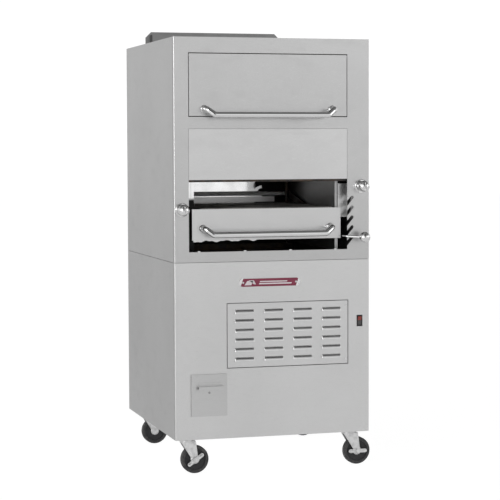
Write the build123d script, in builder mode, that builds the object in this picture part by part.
"""Upright infrared broiler with an overhead warming oven, on a cabinet base with casters.

Row frame: millimetres, +Z up, the front faces -Y, the origin is on the floor under the middle of
the whole outline. Cabinet coordinates, used below, run from the cabinet's lower left front corner:
x to the right, y to the back, z up.
"""
from build123d import *
from math import asin, cos, degrees, radians, sin, tan
import os

os.makedirs("parts", exist_ok=True)

# ---------------------------------------------------------------- cabinet sizes
cab_w = 914.4            # 36 inch cabinet
cab_d = 982.0
lower_h = 794.0          # base section, up to the seam
sill_h = 46.0            # from the seam up to the broiler opening
broil_h = 320.0          # broiler opening
cover_h = 227.0          # burner cover panel above it
rail_h = 52.0            # rail between burner cover and oven door
oven_h = 283.0           # oven door opening
head_h = 69.0            # rail above the oven door
sheet = 1.5              # outer stainless sheet
liner = 1.2              # inner sheet
seam_gap = 1.6           # groove between the two sections
butt_gap = 0.5           # gap between panels that butt
front_clear = 1.5        # flat pans behind the front sheet's bends
corner_r = 4.0           # bend radius of the front corners
return_d = 16.0          # depth of the front panels' side returns
stile_l = 66.5           # frame to the left of the openings
open_w = 742.0

# ---------------------------------------------------------------- casters
wheel_r = 63.5           # 5 inch wheel
wheel_w = 32.0
fork_over = 38.0         # cabinet bottom above the wheel's top
caster_lead = 38.0       # wheel centre behind the swivel axis
caster_x = 70.0          # swivel axis to the cabinet's side
caster_y = 88.0          # swivel axis to the cabinet's front or back
plate_side = 92.0
plate_t = 4.0
race_r = 24.0
race_h = 7.0
crown_r = 30.0
crown_t = 9.0
leg_t = 4.0
leg_gap = 3.0            # wheel to fork leg
axle_r = 6.0
axle_boss_r = 13.0
axle_out = 11.0          # axle end beyond the fork leg
pedal_len = 88.0
pedal_h = 17.0
pedal_t = 4.0
running = 0.06           # radial clearance of pins and shafts

# ---------------------------------------------------------------- front fittings
handle_r = 13.0
handle_span = 597.0
handle_out = 58.0
handle_drop = 27.0
handle_end = 36.0        # sideways run of a handle's curved end
knob_r = 26.0
knob_out = 36.0          # knob centre in front of the face
knob_l = (35.0, 1028.0)  # x, z of the left gas knob
knob_r_at = (876.0, 1126.0)
stem_r = 5.0
ball_r = 25.0
ball_at = (872.0, -60.0, 896.0)
door_gap = 4.0           # round the oven door
door_t = 26.0
hinge_in = 7.0           # oven door pin, from its top and front faces
pin_r = 4.0
jamb_d = 30.0
louvre_w = 90.0
louvre_h = 17.0
louvre_pitch_x = 137.0
louvre_pitch_z = 43.0
louvre_out = 9.0

# ---------------------------------------------------------------- broiler and its grid
chamber_w = 664.0
chamber_y = 62.0         # front edge of the chamber walls
service_d = 197.0        # chamber back to the cabinet's back
drawer_w = 698.0
drawer_h = 139.0
drawer_z = 890.0
drawer_y = 30.0
drawer_lip = 22.0
rail_in = 24.5           # lift carriage rail, from the chamber wall
rail_w = 20.0
rail_t = 40.0
grid_seat = 24.0         # rail top below the drawer front's top
grid_rest = 0.4          # grid runner above the rail
bar_pitch = 12.4
bar_w = 5.0
bar_h = 12.0
pin_y = 280.0            # lift arm pin
shaft_in = 40.0          # lift shaft in front of the chamber's back
shaft_r = 10.0
arm_rest = 11.0          # degrees the lift arms point down at rest
lift_travel = 114.0
arm_in = 10.0            # lift arm from the chamber wall
arm_t = 6.0
arm_w = 30.0
lift_pin_r = 8.0
slot_clear = 1.0
post_in = 95.0           # guide post in front of the chamber's back
post_r = 8.0
lever_x = 786.0          # outer lift lever plate
lever_pivot_y = 250.0
lever_z = 900.0          # height of the lever rod at rest
rod_r = 5.5
rod_gap = 11.0           # rod axis to the edge of the opening
notch_w = 15.0
notch_angle = 50.0
notch_run = 34.0         # sideways run of a notch's centre line
notches = 5
rest_notch = 1           # notch the lift rests at, counted up from 0

# ---------------------------------------------------------------- worked out
upper_h = sill_h + broil_h + cover_h + rail_h + oven_h + head_h
z_seam = lower_h
z_broil = lower_h + sill_h
z_cover = z_broil + broil_h
z_rail = z_cover + cover_h
z_oven = z_rail + rail_h
z_head = z_oven + oven_h
z_top = lower_h + upper_h
open_x = stile_l + open_w / 2
open_r = stile_l + open_w
caster_h = 2 * wheel_r + fork_over
chamber_back = cab_d - service_d
shaft_y = chamber_back - shaft_in
post_y = chamber_back - post_in
rail_top = drawer_z + drawer_h - grid_seat
chamber_l = open_x - chamber_w / 2
chamber_r = open_x + chamber_w / 2
wheel_over = caster_lead + wheel_r - caster_x
front_reach = ball_r - ball_at[1]
inlet_reach = 26.0
screw_out = 0.8
x_left = -(cab_w + wheel_over - screw_out) / 2
y_front = (front_reach - cab_d - inlet_reach) / 2
shaft_z = rail_top - rail_t / 2 + (shaft_y - pin_y) * tan(radians(arm_rest))
arm_len = (shaft_y - pin_y) / cos(radians(arm_rest))
lift_low = lift_travel * rest_notch / (notches - 1)
low_sine = sin(radians(arm_rest)) + lift_low / arm_len
arm_swing = degrees(asin(low_sine) + asin(lift_travel / arm_len - low_sine))


def at(x, y, z):
    """Row-frame point of a place in cabinet coordinates."""
    return (x_left + x, y_front + y, caster_h + z)


def front_plane(y):
    """Sketch plane parallel to the front; it extrudes towards the front."""
    return Plane(origin=at(0, y, 0), x_dir=(1, 0, 0), z_dir=(0, -1, 0))


def side_plane(x):
    """Sketch plane in y and z; it extrudes to the right."""
    return Plane(origin=at(x, 0, 0), x_dir=(0, 1, 0), z_dir=(1, 0, 0))


def floor_plane(z):
    """Sketch plane in x and y; it extrudes up."""
    return Plane(origin=at(0, 0, z))


def block(low, high, mode=Mode.ADD):
    """Box between two corners, in cabinet coordinates."""
    size = [b - a for a, b in zip(low, high)]
    with Locations(at(*low)):
        Box(*size, align=(Align.MIN, Align.MIN, Align.MIN), mode=mode)


def rod(place, radius, length, axis, mode=Mode.ADD):
    """Cylinder centred on a place, along X, Y or Z."""
    turn = {"X": (0, 90, 0), "Y": (90, 0, 0), "Z": (0, 0, 0)}[axis]
    with Locations(at(*place)):
        Cylinder(radius, length, rotation=turn, mode=mode)


def tube(points, radius, bend):
    """Round bar swept along straight runs joined by arcs, in cabinet coordinates."""
    with BuildPart() as piece:
        with BuildLine() as path:
            FilletPolyline(*[at(*p) for p in points], radius=bend)
        with BuildSketch(Plane(origin=path.line @ 0, z_dir=path.line % 0)):
            Circle(radius)
        sweep()
    return piece.part


def pan(x0, x1, z0, z1, y0, depth, wall):
    """Front skin with returns on its four sides, open at the back."""
    with BuildPart() as piece:
        block((x0, y0, z0), (x1, y0 + depth, z1))
        block((x0 + wall, y0 + wall, z0 + wall), (x1 - wall, y0 + depth, z1 - wall), Mode.SUBTRACT)
    return piece.part


def front_shell(z0, height):
    """Front sheet with rounded vertical bends and side returns."""
    with BuildPart() as piece:
        for inset, mode in ((0, Mode.ADD), (sheet, Mode.SUBTRACT)):
            with BuildSketch(floor_plane(z0)):
                with Locations((cab_w / 2, (return_d + inset) / 2)):
                    outline = Rectangle(cab_w - 2 * inset, return_d - inset)
                fillet(outline.vertices().group_by(Axis.Y)[0], corner_r - inset)
            extrude(amount=height, mode=mode)
    return piece.part


def save(piece, name):
    piece.label = name
    export_step(piece, f"parts/{name}.step")


def notch_height(step):
    """Height at which the lever rod crosses the front sheet at one of its rest heights."""
    swing = radians(arm_swing * (step - rest_notch) / (notches - 1))
    return shaft_z + shaft_y * tan(swing) + (lever_z - shaft_z) / cos(swing)


# ================================================================ upper section, outer sheets
def make_front_frame():
    rise = notch_run * tan(radians(notch_angle))
    reach = notch_run / cos(radians(notch_angle))
    with BuildPart() as piece:
        add(front_shell(z_seam, upper_h))
        block((stile_l, 0, z_broil), (open_r, return_d, z_rail), Mode.SUBTRACT)
        block((stile_l, 0, z_oven), (open_r, return_d, z_head), Mode.SUBTRACT)
        with BuildSketch(front_plane(0)):
            for step in range(notches):
                mouth = (open_r - rod_gap, notch_height(step))
                with Locations((mouth[0] + notch_run / 2, mouth[1] + rise / 2)):
                    SlotCenterToCenter(reach, notch_w, rotation=notch_angle)
        extrude(amount=-sheet, mode=Mode.SUBTRACT)
        for x, z in (knob_l, knob_r_at):
            rod((x, 0, z), stem_r + 1, 4 * sheet, "Y", Mode.SUBTRACT)
        block((stile_l - liner, sheet, z_oven - liner), (open_r + liner, jamb_d, z_head + liner))
        block((stile_l, 0, z_oven), (open_r, jamb_d, z_head), Mode.SUBTRACT)
        hinge_z = z_head - door_gap - hinge_in
        rod((open_x, hinge_in, hinge_z), pin_r + running, open_w + 4 * liner, "X", Mode.SUBTRACT)
    return piece.part


save(make_front_frame(), "front_frame")

save(pan(stile_l + 1, open_r - 1, z_cover, z_rail - 1, 0, 18, sheet), "burner_cover")

side_y = return_d + butt_gap
for side, x in (("left", 0), ("right", cab_w - sheet)):
    with BuildPart() as upper_side:
        block((x, side_y, z_seam), (x + sheet, cab_d, z_top))
    save(upper_side.part, f"upper_side_{side}")
    with BuildPart() as lower_side:
        block((x, side_y, 0), (x + sheet, cab_d, lower_h - seam_gap))
    save(lower_side.part, f"lower_side_{side}")

inner_l = sheet + butt_gap
inner_r = cab_w - sheet - butt_gap

flue_l = 124.0
flue_r = 737.0
flue_d = 34.0
flue_h = 69.0
flue_back_l = 96.0
flue_back_r = 791.0
flue_back_h = 84.0
flue_corner = 28.0
flue_skirt = 20.0        # riser box below the top panel
flue_front = cab_d - sheet - flue_d

with BuildPart() as top_panel:
    block((inner_l, sheet + front_clear, z_top - sheet), (inner_r, cab_d - sheet - butt_gap, z_top))
    block((flue_l - butt_gap, flue_front - butt_gap, z_top - sheet), (flue_r + butt_gap, cab_d, z_top),
          Mode.SUBTRACT)
save(top_panel.part, "top_panel")

with BuildPart() as flue_riser:
    with BuildSketch(front_plane(cab_d)):
        with Locations(((flue_back_l + flue_back_r) / 2, z_top + flue_back_h / 2)):
            plate = Rectangle(flue_back_r - flue_back_l, flue_back_h)
        chamfer(plate.vertices().group_by(Axis.Y)[-1], flue_corner)
    extrude(amount=sheet)
    block((flue_l, flue_front, z_top - flue_skirt), (flue_r, cab_d - sheet, z_top + flue_h))
    block((flue_l + sheet, flue_front + sheet, z_top - flue_skirt),
          (flue_r - sheet, cab_d - sheet, z_top + flue_h), Mode.SUBTRACT)
save(flue_riser.part, "flue_riser")

# ================================================================ lower section
panel_l = 238.5
panel_r = 813.5
panel_z = 315.0
panel_h = 294.0
panel_gap = 3.0
grease_l = 72.0
grease_r = 237.0
grease_z = 105.0
grease_h = 188.0
grease_out = 9.0
grease_lap = 8.0         # grease drawer front laps the opening
switch_at = (868.0, 511.5)
switch_w = 27.0
switch_h = 52.0
rocker_y = 6.0           # rocker pin behind the face
rocker_pin_r = 1.5
badge_at = (438.5, 698.5)
badge_w = 284.0
badge_h = 36.0
badge_t = 4.0

with BuildPart() as lower_front:
    add(front_shell(0, lower_h - seam_gap))
    block((panel_l, 0, panel_z), (panel_r, return_d, panel_z + panel_h), Mode.SUBTRACT)
    block((grease_l + grease_lap, 0, grease_z + grease_lap),
          (grease_r - grease_lap, return_d, grease_z + grease_h - grease_lap), Mode.SUBTRACT)
    block((switch_at[0] - switch_w / 2 + 2, 0, switch_at[1] - switch_h / 2 + 2),
          (switch_at[0] + switch_w / 2 - 2, return_d / 2, switch_at[1] + switch_h / 2 - 2), Mode.SUBTRACT)
save(lower_front.part, "lower_front")

inlet_at = (850.0, 620.0)
coupling_r = 19.0
coupling_bore = 13.5
coupling_len = 42.0
bore_len = 25.0
power_at = (140.0, 300.0)
gland_r = 10.0

with BuildPart() as back_panel:
    block((inner_l, cab_d - sheet, 0), (inner_r, cab_d, z_top - butt_gap))
    rod((inlet_at[0], cab_d, inlet_at[1]), coupling_r + 3, 20, "Y", Mode.SUBTRACT)
    rod((power_at[0], cab_d, power_at[1]), gland_r + 1, 20, "Y", Mode.SUBTRACT)
    with BuildSketch(front_plane(cab_d)):
        for z in (z_seam / 2, z_rail + 120):
            with Locations((cab_w / 2, z)):
                with GridLocations(150, 26, 4, 6):
                    SlotOverall(110, 7)
    extrude(amount=2 * sheet, mode=Mode.SUBTRACT)
save(back_panel.part, "back_panel")

deck_z = lower_h - seam_gap - 12
chute_x = (118.0, 196.0)
chute_y = (150.0, 230.0)
with BuildPart() as mid_deck:
    block((inner_l, sheet + front_clear, deck_z), (inner_r, cab_d - sheet - butt_gap, deck_z + 2))
    block((chute_x[0], chute_y[0], deck_z), (chute_x[1], chute_y[1], deck_z + 2), Mode.SUBTRACT)
    block((20, cab_d - 102, deck_z), (cab_w - 20, cab_d - 32, deck_z + 2), Mode.SUBTRACT)
save(mid_deck.part, "mid_deck")


# ---------------------------------------------------------------- louvred access panel
def make_louvre_panel():
    x0 = panel_l + panel_gap
    x1 = panel_r - panel_gap
    z0 = panel_z + panel_gap
    z1 = panel_z + panel_h - panel_gap
    spots = GridLocations(louvre_pitch_x, louvre_pitch_z, 4, 6)
    with BuildPart() as hood:
        with BuildSketch(Plane.YZ.offset(-louvre_w / 2)):
            with BuildLine():
                Line((0, louvre_h / 2), (0, -louvre_h / 2))
                Line((0, -louvre_h / 2), (-louvre_out, -louvre_h / 2))
                ThreePointArc((-louvre_out, -louvre_h / 2), (-0.75 * louvre_out, 0.05 * louvre_h),
                              (0, louvre_h / 2))
            make_face()
        extrude(amount=louvre_w)
        ends = hood.edges().filter_by(GeomType.CIRCLE)
        fillet(ends, 3.5)
    with BuildPart() as piece:
        add(pan(x0, x1, z0, z1, 0.6, 14, sheet))
        for spot in spots:
            place = spot.position
            centre = at((x0 + x1) / 2 + place.X, 0.6, (z0 + z1) / 2 + place.Y)
            with Locations(centre):
                add(hood.part)
            with Locations((centre[0], centre[1] + 0.4, centre[2] - 1.2)):
                Box(louvre_w - 7, 2 * louvre_out - 5, louvre_h - 6, mode=Mode.SUBTRACT)
            with Locations((centre[0], centre[1] - 1.6, centre[2] - louvre_h / 2 + 1.6)):
                Box(louvre_w - 7, louvre_out + 1, 4.4, mode=Mode.SUBTRACT)
    return piece.part


save(make_louvre_panel(), "louvre_panel")

with BuildPart() as switch_bezel:
    x, z = switch_at
    block((x - switch_w / 2, -2, z - switch_h / 2), (x + switch_w / 2, 0, z + switch_h / 2))
    block((x - switch_w / 2 + 2.5, 0, z - switch_h / 2 + 2.5),
          (x + switch_w / 2 - 2.5, 22, z + switch_h / 2 - 2.5))
    block((x - switch_w / 2 + 4, -2, z - switch_h / 2 + 4),
          (x + switch_w / 2 - 4, 18, z + switch_h / 2 - 4), Mode.SUBTRACT)
    rod((x, rocker_y, z), rocker_pin_r + running, switch_w, "X", Mode.SUBTRACT)
save(switch_bezel.part, "switch_bezel")

with BuildPart() as switch_rocker:
    half = switch_h / 2 - 6.5
    with BuildSketch(side_plane(switch_at[0] - switch_w / 2 + 5)):
        with BuildLine():
            Polyline((8, switch_at[1] - 8), (-2.5, switch_at[1] - half), (-0.8, switch_at[1]),
                     (-4.5, switch_at[1] + half), (8, switch_at[1] + 8), close=True)
        make_face()
    extrude(amount=switch_w - 10)
    rod((switch_at[0], rocker_y, switch_at[1]), rocker_pin_r, switch_w - 6, "X")
save(switch_rocker.part, "switch_rocker")

with BuildPart() as nameplate:
    with BuildSketch(front_plane(0)):
        with Locations(badge_at):
            SlotOverall(badge_w, badge_h)
    extrude(amount=badge_t)
    with BuildSketch(front_plane(-badge_t)):
        with Locations(badge_at):
            SlotOverall(badge_w - 7, badge_h - 7)
    extrude(amount=-1.2, mode=Mode.SUBTRACT)
save(nameplate.part, "nameplate")

# ---------------------------------------------------------------- grease drawer
tray_l = grease_l + grease_lap + 4
tray_r = grease_r - grease_lap - 4
tray_z = grease_z + grease_lap + 4
tray_h = 110.0
tray_d = 460.0
base_t = 3.0
runner_gap = 1.0
runner_t = 3.0
with BuildPart() as base_pan:
    block((inner_l, sheet + front_clear, 0), (inner_r, cab_d - sheet - butt_gap, base_t))
    for x in (tray_l - runner_gap - runner_t, tray_r + runner_gap):
        block((x, 30, base_t), (x + runner_t, tray_d, tray_z + 30))
    block((tray_l - runner_gap, 30, tray_z - 3.5), (tray_r + runner_gap, tray_d, tray_z - 0.5))
save(base_pan.part, "base_pan")

with BuildPart() as grease_drawer:
    add(pan(grease_l, grease_r, grease_z, grease_z + grease_h, -grease_out, grease_out - 0.5, sheet))
    block((tray_l, -grease_out + sheet, tray_z), (tray_r, tray_d, tray_z + tray_h))
    block((tray_l + sheet, sheet, tray_z + sheet), (tray_r - sheet, tray_d - sheet, tray_z + tray_h),
          Mode.SUBTRACT)
save(grease_drawer.part, "grease_drawer")

pull_x = (101.0, 217.0)
pull_z = 241.0
pull_t = 2.0
pull_flange = 16.0
pull_out = 22.0
pull_y = -grease_out - pull_out
with BuildPart() as grease_pull:
    with BuildSketch(side_plane(pull_x[0])):
        with BuildLine():
            Polyline((-grease_out, pull_z + pull_flange), (-grease_out, pull_z - pull_t),
                     (pull_y + pull_t, pull_z - pull_t), (pull_y + pull_t, pull_z - pull_flange),
                     (pull_y, pull_z - pull_flange), (pull_y, pull_z),
                     (-grease_out - pull_t, pull_z), (-grease_out - pull_t, pull_z + pull_flange),
                     close=True)
        make_face()
    extrude(amount=pull_x[1] - pull_x[0])
    rod(((grease_l + grease_r) / 2, -grease_out - 1, pull_z - 30), 3, 2, "Y")
save(grease_pull.part, "grease_pull")


# ================================================================ warming oven
oven_back = chamber_back + 15
rack_z = z_oven + 120
rack_wire = 3.5
door_l = stile_l + 3
door_r = open_r - 3
door_z0 = z_oven + door_gap
door_z1 = z_head - door_gap

with BuildPart() as oven_liner:
    block((stile_l - liner, jamb_d + butt_gap, z_oven - liner), (open_r + liner, oven_back, z_head + liner))
    block((stile_l, jamb_d + butt_gap, z_oven), (open_r, oven_back - liner, z_head), Mode.SUBTRACT)
    for x in (stile_l, open_r - 12):
        block((x, 60, rack_z - liner), (x + 12, oven_back - 20, rack_z))
save(oven_liner.part, "oven_liner")

with BuildPart() as oven_rack:
    rack_mid = (50 + oven_back - 20) / 2
    rack_len = oven_back - 70
    with Locations(at(open_x, rack_mid, rack_z + rack_wire)):
        with GridLocations(30, 1, 24, 1):
            Cylinder(rack_wire - 1, rack_len - 2, rotation=(90, 0, 0))
    for y in (54, rack_mid, oven_back - 24):
        rod((open_x, y, rack_z + rack_wire), rack_wire, open_w - 14, "X")
save(oven_rack.part, "oven_rack")

with BuildPart() as oven_door_outer:
    add(pan(door_l, door_r, door_z0, door_z1, 0, door_t, sheet))
    hinge_z = door_z1 - hinge_in
    for x in (door_l + 5, door_r - 5):
        rod((x, hinge_in, hinge_z), pin_r, 26, "X")
save(oven_door_outer.part, "oven_door_outer")

with BuildPart() as oven_door_inner:
    lip = sheet + 0.2
    block((door_l + lip, door_t - 9, door_z0 + lip), (door_r - lip, door_t, door_z1 - lip))
    block((door_l + lip + liner, door_t - 9, door_z0 + lip + liner),
          (door_r - lip - liner, door_t - liner, door_z1 - lip - liner), Mode.SUBTRACT)
save(oven_door_inner.part, "oven_door_inner")


def handle(face_y, mount_z):
    """Round pull: two ends curve out and down from the face to a straight grip."""
    x0 = open_x - handle_span / 2
    x1 = open_x + handle_span / 2
    grip_y = face_y - handle_out
    grip_z = mount_z - handle_drop
    return tube([(x0, face_y, mount_z), (x0, face_y - 42, mount_z), (x0 + handle_end, grip_y, grip_z),
                 (x1 - handle_end, grip_y, grip_z), (x1, face_y - 42, mount_z), (x1, face_y, mount_z)],
                handle_r, 21)


save(handle(0, z_oven + 35), "oven_door_handle")

# ================================================================ broiler chamber
chamber_z0 = z_seam + 9
chamber_z1 = z_cover + 36
wall_lip = 14.0
for side, x0, lip_x in (("left", chamber_l - liner, chamber_l - wall_lip),
                        ("right", chamber_r, chamber_r)):
    with BuildPart() as chamber_wall:
        block((x0, chamber_y, chamber_z0), (x0 + liner, chamber_back, chamber_z1))
        block((lip_x, chamber_y, chamber_z0), (lip_x + wall_lip, chamber_y + liner, chamber_z1))
        rod((x0, shaft_y, shaft_z), shaft_r + running, 6 * liner, "X", Mode.SUBTRACT)
    save(chamber_wall.part, f"chamber_wall_{side}")

with BuildPart() as chamber_wall_rear:
    block((chamber_l, chamber_back, chamber_z0), (chamber_r, chamber_back + liner, chamber_z1))
save(chamber_wall_rear.part, "chamber_wall_rear")

burner_z = z_cover + 40
burner_h = 120.0
burner_l = chamber_l + 7
burner_r = chamber_r - 7
with BuildPart() as burner_housing:
    for wall, mode in ((0, Mode.ADD), (2, Mode.SUBTRACT)):
        block((burner_l + wall, 140 + wall, burner_z + wall),
              (burner_r - wall, chamber_back - 45 - wall, burner_z + burner_h - wall), mode)
    for x in (open_x - 150, open_x + 150):
        rod((x, chamber_back + 5, burner_z + burner_h / 2), 24, 104, "Y")
        rod((x, chamber_back + 5, burner_z + burner_h / 2), 21, 108, "Y", Mode.SUBTRACT)
save(burner_housing.part, "burner_housing")

tile_t = 12.0
tile_gap = 6.0
tile_pitch = (chamber_back - 265) / 4
with BuildPart() as burner_tiles:
    with Locations(at(open_x, chamber_back / 2 + 27.5, burner_z - tile_t / 2)):
        with GridLocations(92 + tile_gap, tile_pitch, 5, 4):
            Box(92, tile_pitch - tile_gap, tile_t)
save(burner_tiles.part, "burner_tiles")

pan_z0 = z_seam + 8
pan_back = post_y - 26
with BuildPart() as drip_pan:
    block((chamber_l + 5, 5, pan_z0), (chamber_r - 5, pan_back, z_broil - 5))
    block((chamber_l + 7, 7, pan_z0 + 2), (chamber_r - 7, pan_back - 2, z_broil - 5), Mode.SUBTRACT)
    block((chute_x[0] + 4, chute_y[0] + 4, pan_z0), (chute_x[1] - 4, chute_y[1] - 4, pan_z0 + 2),
          Mode.SUBTRACT)
    for step in range(4):
        x = open_x - 5 + (step - 1.5) * 213
        block((x - 6, 3, z_broil - 16), (x + 6, 5, z_broil + 4))
save(drip_pan.part, "drip_pan")

chute_z0 = tray_z + tray_h + 20
with BuildPart() as grease_chute:
    for grow, mode in ((0, Mode.ADD), (-liner, Mode.SUBTRACT)):
        block((chute_x[0] + 2 - grow, chute_y[0] + 2 - grow, chute_z0),
              (chute_x[1] - 2 + grow, chute_y[1] - 2 + grow, pan_z0), mode)
save(grease_chute.part, "grease_chute")

# ================================================================ grid lift
rail_l = chamber_l + rail_in
rail_r = chamber_r - rail_in - rail_w
post_l = rail_l + rail_w / 2
post_x = (post_l, rail_r + rail_w / 2)
with BuildPart() as guide_posts:
    for x in post_x:
        rod((x, post_y, (deck_z + 2 + burner_z) / 2), post_r, burner_z - deck_z - 2, "Z")
save(guide_posts.part, "guide_posts")

rail_y = (80.0, post_y + 14)
cross_z = rail_top - rail_t
with BuildPart() as lift_carriage:
    for x in (rail_l, rail_r):
        block((x, rail_y[0], cross_z), (x + rail_w, rail_y[1], rail_top))
        with BuildSketch(side_plane(x)):
            with Locations((pin_y - 3, rail_top - rail_t / 2)):
                SlotOverall(2 * lift_pin_r + 28, 2 * (lift_pin_r + slot_clear))
        extrude(amount=rail_w, mode=Mode.SUBTRACT)
    for y in (110, post_y - 60):
        block((rail_l, y, cross_z), (rail_r + rail_w, y + 14, cross_z + 14))
    for x in post_x:
        rod((x, post_y, rail_top - rail_t / 2), post_r + running, rail_t + 2, "Z", Mode.SUBTRACT)
save(lift_carriage.part, "lift_carriage")

shaft_l = chamber_l - 9
shaft_end = lever_x + arm_t + 5
with BuildPart() as lift_shaft:
    rod(((shaft_l + shaft_end) / 2, shaft_y, shaft_z), shaft_r, shaft_end - shaft_l, "X")
save(lift_shaft.part, "lift_shaft")

pivot = (lever_x + arm_t / 2, lever_pivot_y, lever_z)
pivot_plane = Plane(origin=at(*pivot), x_dir=(0, 1, 0),
                    z_dir=(-sin(radians(notch_angle)), 0, cos(radians(notch_angle))))
eye_r = 9.0
eye_t = 10.0


def arm_plate(x, near, near_r):
    """Flat arm from the lift shaft to a rounded end at near (y, z)."""
    with BuildPart() as piece:
        with BuildSketch(side_plane(x)):
            with Locations((shaft_y, shaft_z)):
                Circle(arm_w * 0.62)
            with Locations(near):
                Circle(near_r)
            make_hull()
            with Locations((shaft_y, shaft_z)):
                Circle(shaft_r, mode=Mode.SUBTRACT)
        extrude(amount=arm_t)
    return piece.part


with BuildPart() as lift_arms:
    pin_z = rail_top - rail_t / 2
    for x, pin_x in ((chamber_l + arm_in, rail_l + rail_w - 2),
                     (chamber_r - arm_in - arm_t, rail_r + 2)):
        add(arm_plate(x, (pin_y, pin_z), arm_w / 2))
        rod(((x + arm_t / 2 + pin_x) / 2, pin_y, pin_z), lift_pin_r, abs(pin_x - x - arm_t / 2), "X")
    add(arm_plate(lever_x, (lever_pivot_y + 24, lever_z + 12), 11))
    with Locations(pivot_plane.location):
        with Locations((14.5, 0, 0)):
            Box(8, 2 * eye_r, 2 * eye_t)
        for side in (-1, 1):
            with Locations((5, 0, side * (eye_t / 2 + 3))):
                Box(27, 2 * eye_r, 4)
        Cylinder(pin_r, 3 * eye_t - 4)
save(lift_arms.part, "lift_arms")

# ---------------------------------------------------------------- lever handle
rod_x = open_r - rod_gap
lever_path = [pivot, (rod_x, -20, lever_z), ball_at]
with BuildPart() as lever_rod:
    add(tube(lever_path, rod_r, 10))
    with Locations(pivot_plane.location):
        Cylinder(eye_r, eye_t)
        Cylinder(pin_r + running, 2 * eye_t, mode=Mode.SUBTRACT)
save(lever_rod.part, "lever_rod")

with BuildPart() as lever_ball:
    with Locations(at(*ball_at)):
        Sphere(ball_r)
    add(tube(lever_path, rod_r, 10), mode=Mode.SUBTRACT)
save(lever_ball.part, "lever_ball")

# ---------------------------------------------------------------- grid drawer
drawer_l = open_x - drawer_w / 2
drawer_r = open_x + drawer_w / 2
drawer_top = drawer_z + drawer_h
grid_top = drawer_top + 4
grid_back = post_y - 22
with BuildPart() as drawer_front:
    add(pan(drawer_l, drawer_r, drawer_z, drawer_top, drawer_y, drawer_lip, sheet))
save(drawer_front.part, "drawer_front")

save(handle(drawer_y, drawer_z + 53), "drawer_handle")

bars = int((rail_r + rail_w - rail_l - bar_w) / bar_pitch) + 1
with BuildPart() as grid_grate:
    base = rail_top + grid_rest
    for x in (rail_l + 1, rail_r + 1):
        block((x, drawer_y + sheet, base), (x + rail_w - 2, grid_back, grid_top - bar_h + 1))
    for y in (drawer_y + drawer_lip + 6, (drawer_y + grid_back) / 2, grid_back - 12):
        block((rail_l + 1, y, base), (rail_r + rail_w - 1, y + 12, grid_top - bar_h + 1))
    for y0, z0 in ((drawer_y + sheet, drawer_top), (drawer_y + drawer_lip + 1, grid_top - bar_h)):
        with Locations(at(open_x, (y0 + grid_back) / 2, (z0 + grid_top) / 2)):
            with GridLocations(bar_pitch, 1, bars, 1):
                Box(bar_w, grid_back - y0, grid_top - z0)
save(grid_grate.part, "grid_grate")

# ================================================================ gas train and knobs
valve_r = 17.0
valve_y = (14.0, 66.0)
line_r = 8.0
main_r = 10.7
line_y = 110.0
line_z = burner_z + 15
knob_places = {"left": knob_l, "right": knob_r_at}

with BuildPart() as gas_valves:
    for x, z in knob_places.values():
        rod((x, sum(valve_y) / 2, z), valve_r, valve_y[1] - valve_y[0], "Y")
        rod((x, valve_y[0], z), stem_r + running, 64, "Y", Mode.SUBTRACT)
save(gas_valves.part, "gas_valves")

with BuildPart() as gas_manifold:
    add(tube([(inlet_at[0], cab_d - 8, inlet_at[1]), (inlet_at[0], cab_d - 72, inlet_at[1]),
              (inlet_at[0], cab_d - 72, line_z), (inlet_at[0], line_y, line_z)], main_r, 20))
    add(tube([(knob_r_at[0], valve_y[1], knob_r_at[1]), (knob_r_at[0], line_y, knob_r_at[1]),
              (knob_r_at[0], line_y, line_z), (knob_l[0], line_y, line_z), (knob_l[0], line_y, knob_l[1]),
              (knob_l[0], valve_y[1], knob_l[1])], line_r, 20))
    coupling_mid = cab_d + inlet_reach - coupling_len / 2
    rod((inlet_at[0], coupling_mid, inlet_at[1]), coupling_r, coupling_len, "Y")
    rod((inlet_at[0], cab_d + inlet_reach, inlet_at[1]), coupling_bore, 2 * bore_len, "Y", Mode.SUBTRACT)
save(gas_manifold.part, "gas_manifold")

collar_r = 31.0
collar_t = 6.0
neck_r = 12.0
with BuildPart() as knob_collars:
    for x, z in knob_places.values():
        rod((x, -collar_t / 2, z), collar_r, collar_t, "Y")
        rod((x, -collar_t / 2, z), neck_r + 1, 2 * collar_t, "Y", Mode.SUBTRACT)
    front_rims = knob_collars.edges().filter_by(GeomType.CIRCLE).group_by(Axis.Y)[0]
    chamfer(front_rims.sort_by(SortBy.RADIUS)[-2:], 2.5)
save(knob_collars.part, "knob_collars")

for side, (x, z) in knob_places.items():
    with BuildPart() as knob:
        with Locations(at(x, -knob_out, z)):
            Sphere(knob_r)
        rod((x, -knob_out / 2 - 0.5, z), neck_r, knob_out - 1, "Y")
        rod((x, 15, z), stem_r, 60, "Y")
        block((x - 2.5, -knob_out - knob_r, z - knob_r), (x + 2.5, -knob_out - knob_r + 6, z + knob_r),
              Mode.SUBTRACT)
    save(knob.part, f"knob_{side}")

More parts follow.
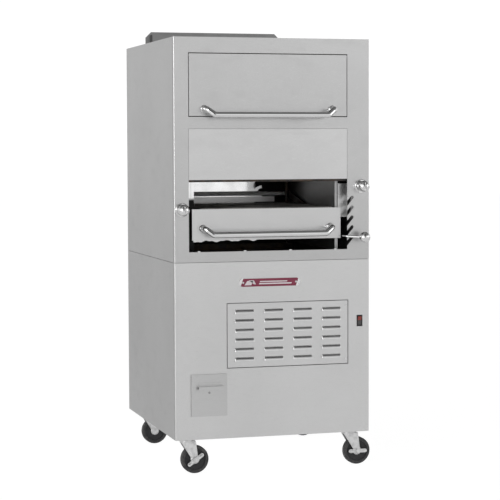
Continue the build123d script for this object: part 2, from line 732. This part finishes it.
# ================================================================ blower
blower_at = (520.0, 520.0, 330.0)
blower_r = 150.0
blower_d = 130.0
wheel_out = 112.0
duct_x = (40.0, blower_r)
blower_y0 = blower_at[1] - blower_d / 2
blower_y1 = blower_at[1] + blower_d / 2
with BuildPart() as blower_housing:
    for wall, mode in ((0, Mode.ADD), (2, Mode.SUBTRACT)):
        rod(blower_at, blower_r - wall, blower_d - 2 * wall, "Y", mode)
        block((blower_at[0] + duct_x[0] + wall, blower_y0 + wall, blower_at[2]),
              (blower_at[0] + duct_x[1] - wall, blower_y1 - wall, deck_z - 30), mode)
        if mode == Mode.ADD:
            for x in (blower_at[0] - 110, blower_at[0] + 100):
                block((x, blower_y0, base_t), (x + 10, blower_y1, blower_at[2] - 60))
    rod((blower_at[0], blower_y0, blower_at[2]), 88, 10, "Y", Mode.SUBTRACT)
    rod((blower_at[0], blower_y1, blower_at[2]), 12, 10, "Y", Mode.SUBTRACT)
save(blower_housing.part, "blower_housing")

motor_r = 62.0
motor_len = 130.0
fan_shaft_r = 6.0
with BuildPart() as blower_motor:
    rod((blower_at[0], blower_y1 + motor_len / 2, blower_at[2]), motor_r, motor_len, "Y")
    rod((blower_at[0], blower_y1 + 20, blower_at[2]), fan_shaft_r + running, 60, "Y", Mode.SUBTRACT)
save(blower_motor.part, "blower_motor")

blades = 24
with BuildPart() as blower_wheel:
    rod((blower_at[0], blower_y1 - 18, blower_at[2]), wheel_out, 3, "Y")
    rod((blower_at[0], blower_y0 + 14, blower_at[2]), wheel_out, 4, "Y")
    rod((blower_at[0], blower_y0 + 14, blower_at[2]), wheel_out - 18, 6, "Y", Mode.SUBTRACT)
    rod((blower_at[0], blower_y1 - 28, blower_at[2]), 22, 26, "Y")
    rod((blower_at[0], blower_y1 + 2, blower_at[2]), fan_shaft_r, 80, "Y")
    with Locations(Plane(origin=at(*blower_at), x_dir=(1, 0, 0), z_dir=(0, -1, 0)).location):
        with PolarLocations(wheel_out - 9, blades):
            Box(15, 2, blower_d - 30, rotation=(0, 0, 35))
save(blower_wheel.part, "blower_wheel")

with BuildPart() as power_inlet:
    x, z = power_at
    block((x - 45, cab_d - sheet - 50, z - 55), (x + 45, cab_d - sheet, z + 55))
    block((x - 43, cab_d - sheet - 48, z - 53), (x + 43, cab_d - sheet - 2, z + 53), Mode.SUBTRACT)
    rod((x, cab_d + 4, z), gland_r, 16, "Y")
    rod((x, cab_d + 6, z), gland_r + 5, 10, "Y")
    rod((x, cab_d, z), gland_r - 5, 40, "Y", Mode.SUBTRACT)
save(power_inlet.part, "power_inlet")

# ================================================================ screws and rivets
with BuildPart() as panel_screws:
    for z in (z_top - 31, z_oven + 24, z_cover + 1, z_broil + 27):
        for x, out in ((0, -screw_out), (cab_w, screw_out)):
            rod((x + out / 2, return_d / 2, z), 3.5, abs(out), "X")
    for side in (-1, 1):
        rod((badge_at[0] + side * (badge_w / 2 - badge_h / 2), -badge_t + 0.2, badge_at[1]), 4.5, 2, "Y")
    for z in (panel_z + 24, panel_z + panel_h - 24):
        rod((panel_r - panel_gap - 8, 0, z), 4, 1.2, "Y")
save(panel_screws.part, "panel_screws")

# ================================================================ casters
race_z = -plate_t - race_h
crown_z1 = race_z - 0.4
crown_z0 = crown_z1 - crown_t
axle_z = wheel_r - caster_h
leg_out = wheel_w / 2 + leg_gap + leg_t
king_r = 6.0
swivels = {
    "front_left": (caster_x, caster_y),
    "front_right": (cab_w - caster_x, caster_y),
    "rear_left": (caster_x, cab_d - caster_y),
    "rear_right": (cab_w - caster_x, cab_d - caster_y),
}
pedal_tilt = {"front_left": 35.0, "front_right": 0.0}

with BuildPart() as caster_plates:
    for x, y in swivels.values():
        half = plate_side / 2
        block((x - half, y - half, -plate_t), (x + half, y + half, 0))
        rod((x, y, race_z + race_h / 2), race_r, race_h, "Z")
        rod((x, y, (race_z + crown_z0 - 3) / 2), king_r, race_z - crown_z0 + 3, "Z")
        rod((x, y, crown_z0 - 3), king_r + 4, 5, "Z")
        with Locations(at(x, y, -plate_t - 2)):
            with GridLocations(plate_side - 20, plate_side - 20, 2, 2):
                Cylinder(6, 4)
save(caster_plates.part, "caster_plates")


def make_fork(x, y, nut_side):
    """Swivel crown, two tapered legs and the riveted axle."""
    hub = (x + caster_lead, axle_z)
    with BuildPart() as piece:
        rod((x, y, (crown_z0 + crown_z1) / 2), crown_r, crown_t, "Z")
        block((x - 27, y - leg_out, crown_z0), (x + 40, y + leg_out, crown_z0 + leg_t))
        for y_face in (y - leg_out + leg_t, y + leg_out):
            with BuildSketch(front_plane(y_face)):
                with Locations((x + 6.5, crown_z0 + leg_t / 2)):
                    Rectangle(67, leg_t)
                with Locations(hub):
                    Circle(axle_boss_r)
                make_hull()
            extrude(amount=leg_t)
        rod((hub[0], y, hub[1]), axle_r, 2 * (leg_out + axle_out), "Y")
        for side in (-1, 1):
            near = axle_out - 2.5 if side == nut_side else 2.5
            rod((hub[0], y + side * (leg_out + near), hub[1]), axle_r + 4, 5, "Y")
        rod((x, y, (crown_z0 + crown_z1) / 2), king_r + running, 3 * crown_t, "Z", Mode.SUBTRACT)
    return piece.part


def make_wheel(x, y):
    """Moulded wheel with rounded shoulders and a recessed web."""
    hub = (x + caster_lead, y, axle_z)
    with BuildPart() as piece:
        rod(hub, wheel_r, wheel_w, "Y")
        fillet(piece.edges().filter_by(GeomType.CIRCLE), 6)
        for side in (-1, 1):
            face = (hub[0], y + side * wheel_w / 2, hub[2])
            rod(face, wheel_r - 14, 10, "Y", Mode.SUBTRACT)
        rod(hub, 17, wheel_w, "Y")
        rod(hub, axle_r + running, 2 * wheel_w, "Y", Mode.SUBTRACT)
    return piece.part


def make_pedal(x, y, tilt):
    """Wing brake pedal on the axle's front end."""
    hub = (x + caster_lead, axle_z)
    face = y - leg_out - 1
    with BuildPart() as piece:
        with BuildSketch(front_plane(face)):
            with Locations(hub):
                SlotOverall(pedal_len, pedal_h, rotation=tilt)
                Circle(axle_boss_r)
        extrude(amount=pedal_t)
        along = (cos(radians(tilt)), 0, sin(radians(tilt)))
        outer = Plane(origin=at(hub[0], face - pedal_t, hub[1]), x_dir=along, z_dir=(0, -1, 0))
        with Locations(outer.location):
            for side in (-1, 1):
                with Locations((side * (pedal_len / 2 - 12), 0, 5)):
                    Box(14, 4, 10)
        rod((hub[0], face - pedal_t / 2, hub[1]), axle_r + running, 6 * pedal_t, "Y", Mode.SUBTRACT)
    return piece.part


for name, (x, y) in swivels.items():
    save(make_fork(x, y, -1 if name in pedal_tilt else 1), f"caster_fork_{name}")
    save(make_wheel(x, y), f"caster_wheel_{name}")
for name, tilt in pedal_tilt.items():
    save(make_pedal(*swivels[name], tilt), f"brake_pedal_{name}")
